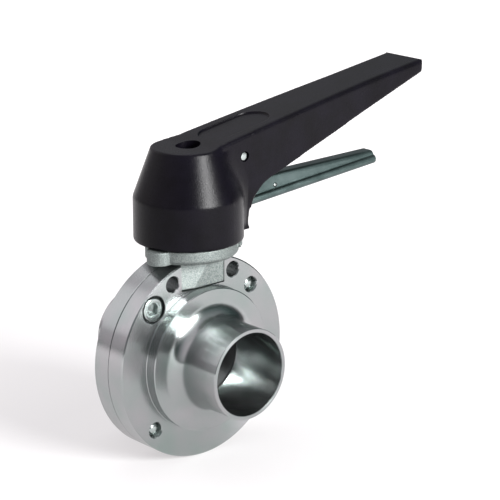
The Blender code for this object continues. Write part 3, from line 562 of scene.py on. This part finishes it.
def seat():
    """Rubber seat with rounded lips and its two stem holes."""
    lip = 0.9 * MM
    groove = 0.9 * MM
    right = arc((SEAT_BORE_R + lip, SEAT_HALF - lip), lip, 90, 180, 6)
    left = [(r, -y) for r, y in reversed(right)]
    profile = [(SEAT_R, -SEAT_HALF), (SEAT_R, -groove), (SEAT_R - groove, 0.0), (SEAT_R, groove),
               (SEAT_R, SEAT_HALF), *right, *left]
    ring = turned(profile, 128, "Y")
    holes = [rod(STEM_HOLE_R, 0.0, 23 * MM, (0, 0)), rod(STEM_HOLE_R, -23 * MM, 0.0, (0, 0))]
    return piece("seat_ring.rubber", worked(ring, holes), RUBBER, "valve_body", "seat_ring")


def disc():
    """Disc, hub and stems in one polished forging."""
    rim = 16.9 * MM
    lens = [(0.0, -4.95), (4.0, -4.9), (7.6, -4.26), (10.5, -3.4), (13.5, -2.75), (16.3, -2.2),
            (16.75, -2.0), (16.9, -1.6)]
    side = [(r * MM, y * MM) for r, y in lens]
    profile = side + [(r, -y) for r, y in reversed(side)]
    body = turned(profile, 128, "Y")
    hub_end = rim - 2.2 * MM
    hub = turned([(0.0, -hub_end), (5.0 * MM, -hub_end), (6.2 * MM, -hub_end * 0.75),
                  (6.6 * MM, -hub_end * 0.5), (6.6 * MM, hub_end * 0.5),
                  (6.2 * MM, hub_end * 0.75), (5.0 * MM, hub_end), (0.0, hub_end)], 64)
    stem = rod(5.0 * MM, -30.0 * MM, 52.6 * MM, (0, 0), steps=64)
    square = block((-3.5 * MM, -3.5 * MM, 51.6 * MM), (3.5 * MM, 3.5 * MM, 70.0 * MM))
    body = worked(body, [hub, stem, square], "UNION")
    body = worked(body, [rod(2.8 * MM, 59.7 * MM, 71 * MM, (0, 0))])
    return piece("valve_disc.steel", body, BODY_STEEL, "handle", "valve_disc", 28.0)


# --- Index bracket ----------------------------------------------------------------------------


def bracket():
    """Cast leg, collar and notched plate, with every outer edge softened by the casting."""
    low, high = PLATE_Z
    leg = block((LEG_X[0], -FLANGE_T, SLOT_FLOOR + GAP), (LEG_X[1], FLANGE_T, low + MM))
    facets = []
    for turn in (0.0, math.pi):
        rings = []
        for z in (SLOT_FLOOR - MM, low + 0.5 * MM):
            start = FACET_START + (z - SLOT_FLOOR) / FACET_STEEP
            back = -FLANGE_T + (start + SLOT_HALF + MM) * FACET_FALL
            side = -SLOT_HALF - MM
            rings.append([(start, -FLANGE_T, z), (side, back, z), (side, -FLANGE_T - MM, z),
                          (start, -FLANGE_T - MM, z)])
        facet = swept(rings)
        facet.transform(Matrix.Rotation(turn, 4, "Z"))
        facets.append(facet)
    leg = worked(leg, facets)
    plate = turned([(0.0, low), (PLATE_R - PLATE_CHAMFER, low), (PLATE_R, low + PLATE_CHAMFER),
                    (PLATE_R, high), (0.0, high)], 128)
    ring_low = high - RING_T
    start = NOTCH_FIRST - NOTCH_STEP / 2
    end = start + NOTCH_STEP * NOTCH_COUNT
    sector = arc((0, 0), RING_R, start, end, 90)
    sector += arc((0, 0), PLATE_R - NOTCH_DEPTH, end, start, 60)
    lobe_at = arc((0, 0), PLATE_R - MM, LOBE_ANGLE, LOBE_ANGLE, 1)[0]
    collar = turned([(0.0, 23.4 * MM), (9.6 * MM, 23.4 * MM), (9.6 * MM, 27.4 * MM),
                     (7.9 * MM, 27.4 * MM), (7.9 * MM, 31.4 * MM), (0.0, 31.4 * MM)], 64)
    solid = worked(leg, [plate, pushed(sector, ring_low, high), rod(LOBE_R, low, high, lobe_at),
                         collar], "UNION")
    distance, direction = PLATE_FLAT
    flat = block((distance, -PLATE_R, low - MM), (PLATE_R + MM, PLATE_R, high + MM))
    flat.transform(Matrix.Rotation(math.radians(direction), 4, "Z"))
    cuts = [flat]
    for i in range(NOTCH_COUNT):
        notch = block((RING_R - NOTCH_DEPTH, -NOTCH_HALF, ring_low),
                      (RING_R + MM, NOTCH_HALF, high + MM))
        notch.transform(Matrix.Rotation(math.radians(NOTCH_FIRST + NOTCH_STEP * i), 4, "Z"))
        cuts.append(notch)
    solid = worked(solid, cuts)
    solid = worked(solid, voxel=0.3 * MM)
    relax(solid, 3)
    bores = [rod(BUSH_HOLE_R, 22 * MM, 41.5 * MM, (0, 0)),
             rod(STEM_HOLE_R, 41 * MM, high + MM, (0, 0))]
    return piece("index_bracket.cast", worked(solid, bores), CAST, "valve_body", "index_bracket")


# --- Handle -----------------------------------------------------------------------------------


def crown(x):
    """Height of the long shallow crown that climbs towards the tip."""
    return HUB_TOP_Z + TOP_SLOPE * x - x * x / (2 * TOP_BEND_R)


def top_z(x):
    """Height of the handle's top: level round the screw hole, then a ramp up to the crown."""
    start, end = RAMP_X
    t = (x - start) / (end - start)
    if t <= 0.0:
        return HUB_FLAT_Z
    if t >= 1.0:
        return crown(x)
    rise = crown(end) - HUB_FLAT_Z
    lean = (TOP_SLOPE - end / TOP_BEND_R) * (end - start)
    return HUB_FLAT_Z + rise * (3 * t * t - 2 * t ** 3) + lean * (t ** 3 - t * t)


def under_z(x):
    """Height of the arm's underside: foot, hollow curve, straight line."""
    def line(at):
        return top_z(ARM_END) - ARM_TIP_T - (ARM_END - at) * math.tan(UNDER_SLOPE)

    centre_x = ARM_FRONT + UNDER_R
    centre_z = line(centre_x) - UNDER_R / math.cos(UNDER_SLOPE)
    if x >= centre_x - UNDER_R * math.sin(UNDER_SLOPE):
        return line(x)
    reach = min(centre_x - x, UNDER_R)
    return centre_z + math.sqrt(UNDER_R ** 2 - reach ** 2)


def arm_outline(x, low):
    """Outline of the arm across its length, drafted towards the foot near the hub."""
    taper = min(max(x / ARM_TAPER_END, 0.0), 1.0)
    top_half = ARM_ROOT_HALF + (ARM_HALF - ARM_ROOT_HALF) * taper
    high = top_z(x)
    up = max(0.0, (low - ARM_FOOT) / (high - ARM_FOOT))
    foot = ARM_FOOT_HALF + (top_half - ARM_FOOT_HALF) * up
    return ((x, -foot, low), (x, foot, low), (x, top_half, high), (x, -top_half, high))


def arm_places(start, end):
    """Places along the arm: close in the hollow curve, then a steady step."""
    curve = [ARM_FRONT + UNDER_R * (1 - math.cos(math.radians(a))) for a in range(3, 70, 6)]
    steady = [38 * MM + 4 * MM * i for i in range(22)]
    return [start] + [x for x in curve + steady if start < x < end] + [end]


def handle():
    """Moulded handle: skirt and cone, arm with soft edges, channel below, recess on top."""
    slope = (SKIRT_R - HUB_TOP_R) / (HUB_TOP_Z - SKIRT_TOP)
    peak = HUB_TOP_Z + 6 * MM
    soft = 0.3 * MM
    hub = turned([(0.0, SKIRT_FOOT), (SKIRT_R - soft, SKIRT_FOOT), (SKIRT_R, SKIRT_FOOT + soft),
                  (SKIRT_R, SKIRT_TOP), (SKIRT_R - slope * (peak - SKIRT_TOP), peak),
                  (0.0, peak)], 160)
    ramp_xs = [RAMP_X[0] + MM * i for i in range(14)] + [17 * MM, 22.7 * MM]
    far, above = 34 * MM, 110 * MM
    lid = [(x, top_z(x)) for x in [-far] + ramp_xs + [far]] + [(far, above), (-far, above)]
    hub = worked(hub, [pushed(lid, -far, far, "Y")])
    edge_break(hub, lambda a, b: all(abs(p.z - top_z(p.x)) < 0.02 * MM and p.x < 7 * MM
               and abs(math.hypot(p.x, p.y) - SKIRT_R + slope * (p.z - SKIRT_TOP)) < 0.05 * MM
               for p in (a, b)), 1.3 * MM, 4)

    root = [0.0] + [x for x in ramp_xs if x > MM / 2] + [ARM_FRONT]
    sections = [arm_outline(x, ARM_FOOT) for x in root]
    sections += [arm_outline(x, under_z(x)) for x in arm_places(ARM_FRONT, ARM_END)[1:]]
    arm = swept(sections)
    tip = ARM_END - MM / 10
    edge_break(arm, lambda a, b: a.x > tip and b.x > tip, 1.9 * MM, 4)
    edge_break(arm, lambda a, b: min(a.z - top_z(a.x), b.z - top_z(b.x)) > -0.02 * MM
               and a.y * b.y > 0 and abs(a.x - b.x) > 0.3 * MM
               and abs(abs(a.y) - abs(b.y)) < MM and abs(a.y) > 8 * MM, 1.6 * MM, 4)
    outer = worked(hub, [arm], "UNION")
    outer = worked(outer, voxel=0.5 * MM)
    relax(outer, 2)

    def near_crease(place):
        """Distance from the line where the cone would meet the arm's side."""
        cone = min(SKIRT_R, SKIRT_R - slope * (place.z - SKIRT_TOP))
        up = (place.z - ARM_FOOT) / (top_z(place.x) - ARM_FOOT)
        side = ARM_FOOT_HALF + (ARM_ROOT_HALF - 0.8 * MM - ARM_FOOT_HALF) * up
        return max(math.hypot(place.x, place.y) - cone, abs(place.y) - side)

    def in_corner(place):
        """The hollow corner where the arm's side leaves the cone."""
        return 5 * MM < place.x < 24 * MM and 9 * MM < abs(place.y) < 22 * MM \
            and 52 * MM < place.z < top_z(place.x) - 3 * MM
    relax(outer, 30, in_corner)
    relax(outer, 160, lambda place: in_corner(place) and near_crease(place) < 4 * MM
          and place.x < ARM_FRONT - 2 * MM)

    inner = ARM_FOOT_HALF - WALL
    channel = []
    for x in [ARM_FRONT - 2.6 * MM] + arm_places(ARM_FRONT, ARM_END - 3.6 * MM):
        low = SKIRT_FOOT - MM if x <= ARM_FRONT else under_z(x) - 3.2 * MM
        roof = top_z(x) - ROOF
        channel.append(((x, -inner, low), (x, inner, low), (x, inner, roof), (x, -inner, roof)))
    ring = turned([(12.2 * MM, SKIRT_FOOT - MM), (SKIRT_R - WALL, SKIRT_FOOT - MM),
                   (SKIRT_R - WALL, 63 * MM), (12.2 * MM, 63 * MM)], 96)
    slot = block((14.2 * MM, -4.15 * MM, SKIRT_FOOT - MM), (25 * MM, 4.15 * MM, 87.6 * MM))
    shape = worked(outer, [ring, swept(channel), slot])
    housing = rod(HOUSING_R, HOUSING_FOOT, top_z(SPRING_X) - MM, (SPRING_X, 0.0))
    shape = worked(shape, [housing], "UNION")

    left, right = RECESS_X
    half = RECESS_HALF
    flare = ((0.0, -0.25 * MM), (0.2 * MM, -0.05 * MM), (0.42 * MM, 0.0), (0.6 * MM, 0.1 * MM),
             (RECESS_DEPTH, 0.35 * MM), (6 * MM, 0.36 * MM))
    recess = swept([[(x, y, z) for x, y in arc((right - half, 0), half + grow, -90, 90, 24)
                     + arc((left + half, 0), half + grow, 90, 270, 24)] for z, grow in flare])
    middle = (left + right) / 2
    recess.transform(Matrix.Translation((-middle, 0, 0)))
    recess.transform(Matrix.Rotation(-math.atan(TOP_SLOPE - middle / TOP_BEND_R), 4, "Y"))
    recess.transform(Matrix.Translation((middle, 0, top_z(middle) - RECESS_DEPTH)))
    cuts = [
        recess, rod(SCREW_HOLE_R, 75 * MM, 95 * MM, (0, 0), steps=96),
        rod(SPRING_BORE_R, 74 * MM, top_z(SPRING_X) - ROOF, (SPRING_X, 0.0)),
        rod(INSERT_HOLE_R, SKIRT_FOOT - MM, 76.3 * MM, (0, 0), steps=64),
        rod(PIVOT_HOLE_R, -16 * MM, 16 * MM, PIVOT, "Y"),
    ]
    return piece("handle_body.nylon", worked(shape, cuts), NYLON, "handle", "handle_body", 38.0)


def handle_screw():
    """Socket-head screw down the handle's top hole."""
    head = 82.4 * MM
    screw = turned([(0.0, 60 * MM), (2.1 * MM, 60 * MM), (2.5 * MM, 60.4 * MM),
                    (2.5 * MM, 77.8 * MM), (4.8 * MM, 77.8 * MM), (4.8 * MM, head - 0.5 * MM),
                    (4.3 * MM, head), (0.0, head)], 64)
    hexagon = arc((0, 0), 2.5 * MM / math.cos(math.pi / 6), 0, 300, 5)
    screw = worked(screw, [pushed(hexagon, head - 2.8 * MM, head + MM)])
    return piece("handle_screw.steel", screw, BRIGHT, "handle", "handle_screw", 28.0)


def round_pin(name, radius, half, place, edge, body):
    """A pin along Y with rounded ends."""
    end = arc((radius - edge, half - edge), edge, 0, 80, 4)
    profile = [(0.0, -half)] + [(r, -y) for r, y in reversed(end)] + end + [(0.0, half)]
    pin = turned(profile, 48, "Y")
    pin.transform(Matrix.Translation((place[0], 0.0, place[1])))
    return piece(name + ".steel", pin, BRIGHT, body, name)


# --- Trigger ----------------------------------------------------------------------------------


def trigger_outline(x):
    """Section of the pressed channel: crown, walls, lower edges rolled outwards."""
    foot = TRIGGER_FOOT + FOOT_RISE * (x - TRIGGER_START)
    top_edge = CROWN_TOP + CROWN_RISE * (x - TRIGGER_START)
    inner = TRIGGER_HALF - SHEET
    lower = arc((TRIGGER_HALF + ROLL_OUT - ROLL_R, foot + ROLL_R), ROLL_R, -110, 60, 12)
    waist = arc((lower[-1][0] + 0.55 * MM, lower[-1][1] + 0.95 * MM), 1.1 * MM, 240, 180, 4)[1:]
    shift = TRIGGER_HALF - waist[-1][0]
    waist = [(y + shift, z) for y, z in waist]
    top = arc((TRIGGER_HALF - CROWN_R, top_edge - CROWN_R), CROWN_R, 0, 90, 8)
    hollow_r = CROWN_R - SHEET
    hollow = arc((inner - hollow_r, top_edge - CROWN_R), hollow_r, 90, 0, 4)
    right = hollow + [(inner, foot + 1.6 * MM)] + lower + waist + top
    left = [(-y, z) for y, z in reversed(right)]
    return [(x, y, z) for y, z in right + left]


def trigger():
    """Pressed channel with two ears up to the pivot."""
    run = TRIGGER_END - TRIGGER_START - 0.6 * MM
    channel = swept([trigger_outline(TRIGGER_START + run * i / 12) for i in range(13)]
                    + [trigger_outline(TRIGGER_END - 0.3 * MM), trigger_outline(TRIGGER_END)])
    middle = 67.0 * MM
    for vert in channel.verts:
        if vert.co.x > TRIGGER_END - 0.1 * MM:
            vert.co.y *= 0.95
            vert.co.z = middle + (vert.co.z - middle) * 0.93
    ear = arc(PIVOT, 4.2 * MM, 20, 190, 24)
    ear += [(PIVOT[0] - 1.2 * MM, 62.7 * MM), (22.5 * MM, 55.5 * MM), (22.5 * MM, 48.9 * MM),
            (25.5 * MM, 48.9 * MM), (25.5 * MM, 58.0 * MM), (32 * MM, 61.1 * MM),
            (32 * MM, 66.7 * MM), (27 * MM, 69.1 * MM)]
    ears = []
    for side in (-1, 1):
        near, far = sorted((side * 2.27 * MM, side * 3.73 * MM))
        ears.append(pushed(ear, near, far, "Y"))
    shape = worked(channel, ears, "UNION")
    holes = [rod(PIVOT_HOLE_R, -6 * MM, 6 * MM, PIVOT, "Y"),
             *[rod(1.4 * MM, -6 * MM, 6 * MM, rivet, "Y") for rivet in RIVETS],
             rod(1.6 * MM, 66 * MM, 71 * MM, (SPRING_X, 0.0)),
             rod(1.02 * MM, -6 * MM, 6 * MM, CROSS_PIN, "Y")]
    return piece("trigger_lever.steel", worked(shape, holes), PRESSED, "trigger", "trigger_lever")


def spring_guide():
    """Upright pin inside the spring, held by the cross pin."""
    radius, foot, top = 1.3 * MM, 61.8 * MM, 80.0 * MM
    guide = turned([(0.0, foot), (1.1 * MM, foot), (radius, 62.0 * MM), (radius, 79.4 * MM),
                    (0.8 * MM, top), (0.0, top)], 48)
    guide.transform(Matrix.Translation((SPRING_X, 0, 0)))
    guide = worked(guide, [rod(0.82 * MM, -3 * MM, 3 * MM, CROSS_PIN, "Y")])
    return piece("spring_guide_pin.steel", guide, BRIGHT, "trigger", "spring_guide_pin")


def spring():
    """Compression spring from the trigger at its foot up to the handle's roof at its top."""
    wire = 0.4 * MM
    coil_r = 2.5 * MM
    low, high = 69.25 * MM + GAP + wire, top_z(SPRING_X) - ROOF - GAP - wire
    turns, steps = 8, 24
    curve = bpy.data.curves.new("trigger_spring.wire", "CURVE")
    curve.dimensions = "3D"
    curve.bevel_depth = wire
    curve.bevel_resolution = 3
    curve.use_fill_caps = True
    spline = curve.splines.new("POLY")
    spline.points.add(turns * steps)
    for i, point in enumerate(spline.points):
        angle = math.tau * i / steps
        point.co = (SPRING_X + coil_r * math.cos(angle), coil_r * math.sin(angle),
                    low + (high - low) * i / (turns * steps), 1.0)
    shape = bpy.data.objects.new("work", curve)
    bpy.context.scene.collection.objects.link(shape)
    coil = bmesh.new()
    coil.from_mesh(shape.to_mesh())
    bpy.data.objects.remove(shape)
    mesh = bpy.data.meshes.new("trigger_spring.wire")
    coil.to_mesh(mesh)
    coil.free()
    mesh.shade_smooth()
    mesh.materials.append(BRIGHT[0])
    item = bpy.data.objects.new("trigger_spring.wire", mesh)
    bpy.context.scene.collection.objects.link(item)
    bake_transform(item)
    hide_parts("trigger_spring")
    return item


# --- Studio -----------------------------------------------------------------------------------


def studio():
    """White floor, soft key light, pale room and the photograph's camera."""
    camera_data = bpy.data.cameras.new("camera")
    camera_data.lens = 143.66
    camera_data.sensor_width = 36.0
    camera_data.clip_start = 0.01
    camera_data.clip_end = 50.0
    camera = bpy.data.objects.new("camera", camera_data)
    right = Vector((0.74849, -0.66314, 0.0))
    up = Vector((0.19100, 0.21559, 0.95761))
    back = Vector((-0.63504, -0.71677, 0.28803))
    turn = Matrix((right, up, back)).transposed().to_4x4()
    camera.matrix_world = Matrix.Translation((-0.50084, -0.60313, 0.27958)) @ turn
    bpy.context.scene.collection.objects.link(camera)
    bpy.context.scene.camera = camera

    floor_mesh = bmesh.new()
    bmesh.ops.create_circle(floor_mesh, cap_ends=True, segments=64, radius=6.0)
    bmesh.ops.translate(floor_mesh, verts=floor_mesh.verts, vec=(0, 0, -FLANGE_R - 0.05 * MM))
    mesh = bpy.data.meshes.new("floor")
    floor_mesh.to_mesh(mesh)
    floor_mesh.free()
    floor = bpy.data.objects.new("floor", mesh)
    bpy.context.scene.collection.objects.link(floor)
    material = bpy.data.materials.new("white_floor")
    material.use_nodes = True
    tree = material.node_tree
    tree.nodes.clear()
    path = add(tree, "ShaderNodeLightPath").outputs
    seen = maths(tree, "ADD", path["Is Camera Ray"], path["Is Glossy Ray"])
    seen = add(tree, "ShaderNodeMath", [(0, seen), (1, path["Is Transmission Ray"])],
               operation="ADD", use_clamp=True).outputs[0]
    place = add(tree, "ShaderNodeTexCoord").outputs["Object"]
    reach = add(tree, "ShaderNodeVectorMath", [(0, place)], operation="LENGTH").outputs["Value"]
    # The glow makes up for the lamps' fall-off, so that the floor is the same white everywhere.
    level = add(tree, "ShaderNodeMapRange", [(0, reach), (1, 0.08), (2, 0.5),
                                             (3, 0.54), (4, 0.98)]).outputs[0]
    strength = maths(tree, "MULTIPLY", seen, level)
    glow = add(tree, "ShaderNodeEmission", [("Color", colour("FFFBFC")), ("Strength", strength)])
    matte = add(tree, "ShaderNodeBsdfDiffuse", [("Color", (0.3, 0.3, 0.3, 1.0))])
    total = add(tree, "ShaderNodeAddShader", [(0, glow.outputs[0]), (1, matte.outputs[0])])
    add(tree, "ShaderNodeOutputMaterial", [("Surface", total.outputs[0])])
    mesh.materials.append(material)

    world = bpy.data.worlds.new("studio")
    bpy.context.scene.world = world
    world.use_nodes = True
    tree = world.node_tree
    tree.nodes.clear()
    toward = add(tree, "ShaderNodeTexCoord").outputs["Generated"]
    height = add(tree, "ShaderNodeSeparateXYZ", [(0, toward)]).outputs[2]
    far = ramp(tree, height, [(0.0, "242E2E"), (0.015, "8A9292"), (0.04, "D6D0D4"),
                              (0.3, "F4EBF2"), (0.6, "FAF2F8"), (1.0, "F8F3F8")])
    near = ramp(tree, height, [(0.0, "0A0E0F"), (0.05, "243434"), (0.3, "435655"),
                               (0.5, "7E8D8C"), (1.0, "D2CDD4")])
    facing = add(tree, "ShaderNodeVectorMath", [(0, toward), (1, (-0.7, 0.71, 0.0))],
                 operation="DOT_PRODUCT").outputs["Value"]
    side = add(tree, "ShaderNodeMapRange", [(0, facing), (1, -0.2), (2, 0.7)]).outputs[0]
    room = add(tree, "ShaderNodeMix", [("Factor", side), ("A", near), ("B", far)],
               data_type="RGBA").outputs["Result"]
    path = add(tree, "ShaderNodeLightPath").outputs
    surround = add(tree, "ShaderNodeBackground", [("Color", room), ("Strength", 1.0)])
    white = add(tree, "ShaderNodeBackground", [("Color", colour("FFFFFF")), ("Strength", 1.0)])
    mix = add(tree, "ShaderNodeMixShader", [(0, path["Is Camera Ray"]), (1, surround.outputs[0]),
                                            (2, white.outputs[0])])
    add(tree, "ShaderNodeOutputWorld", [("Surface", mix.outputs[0])])

    for name, toward, distance, size, power in (
            ("key", (0.09, -0.93, 0.36), 1.1, 0.47, 30.0),
            ("fill", (-0.62, 0.68, 0.6), 1.3, 1.0, 1.3),
            ("top", (0.1, 0.35, 1.0), 1.3, 0.9, 5.0)):
        lamp = bpy.data.lights.new(name, "AREA")
        lamp.shape = "DISK"
        lamp.size = size
        lamp.energy = power
        holder = bpy.data.objects.new(name, lamp)
        direction = Vector(toward).normalized()
        target = Vector((0.01, 0.0, 0.03))
        holder.location = target + direction * distance
        holder.rotation_euler = direction.to_track_quat("Z", "Y").to_euler()
        bpy.context.scene.collection.objects.link(holder)
    bpy.context.scene.view_settings.view_transform = "Standard"


def dress_kept_nodes():
    """Give the CAD nodes that stay their finish."""
    kept = {"upper_stem_bush": POLYMER, "lower_stem_bush": POLYMER, "drive_insert": BRIGHT,
            "handle_washer": BRIGHT, "lock_pawl": BRIGHT}
    for name, finish in kept.items():
        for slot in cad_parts[name].material_slots:
            slot.material = finish[0]


def main():
    """Build every piece."""
    studio()
    dress_kept_nodes()
    body_half("front_body_half", 0.0)
    body_half("back_body_half", math.pi)
    for number, (place, turn) in enumerate(((0, 0.0), (2, 0.0), (0, math.pi), (2, math.pi)), 1):
        clamp_screw(f"clamp_screw_{number}", place, turn)
    seat()
    disc()
    bracket()
    handle()
    handle_screw()
    round_pin("trigger_pin", 1.9 * MM, 12.5 * MM, PIVOT, 0.5 * MM, "handle")
    trigger()
    for number, rivet in enumerate(RIVETS, 1):
        round_pin(f"pawl_rivet_{number}", 1.1 * MM, 4.0 * MM, rivet, 0.25 * MM, "trigger")
    round_pin("guide_cross_pin", 0.72 * MM, 3.85 * MM, CROSS_PIN, 0.2 * MM, "trigger")
    spring_guide()
    spring()


main()
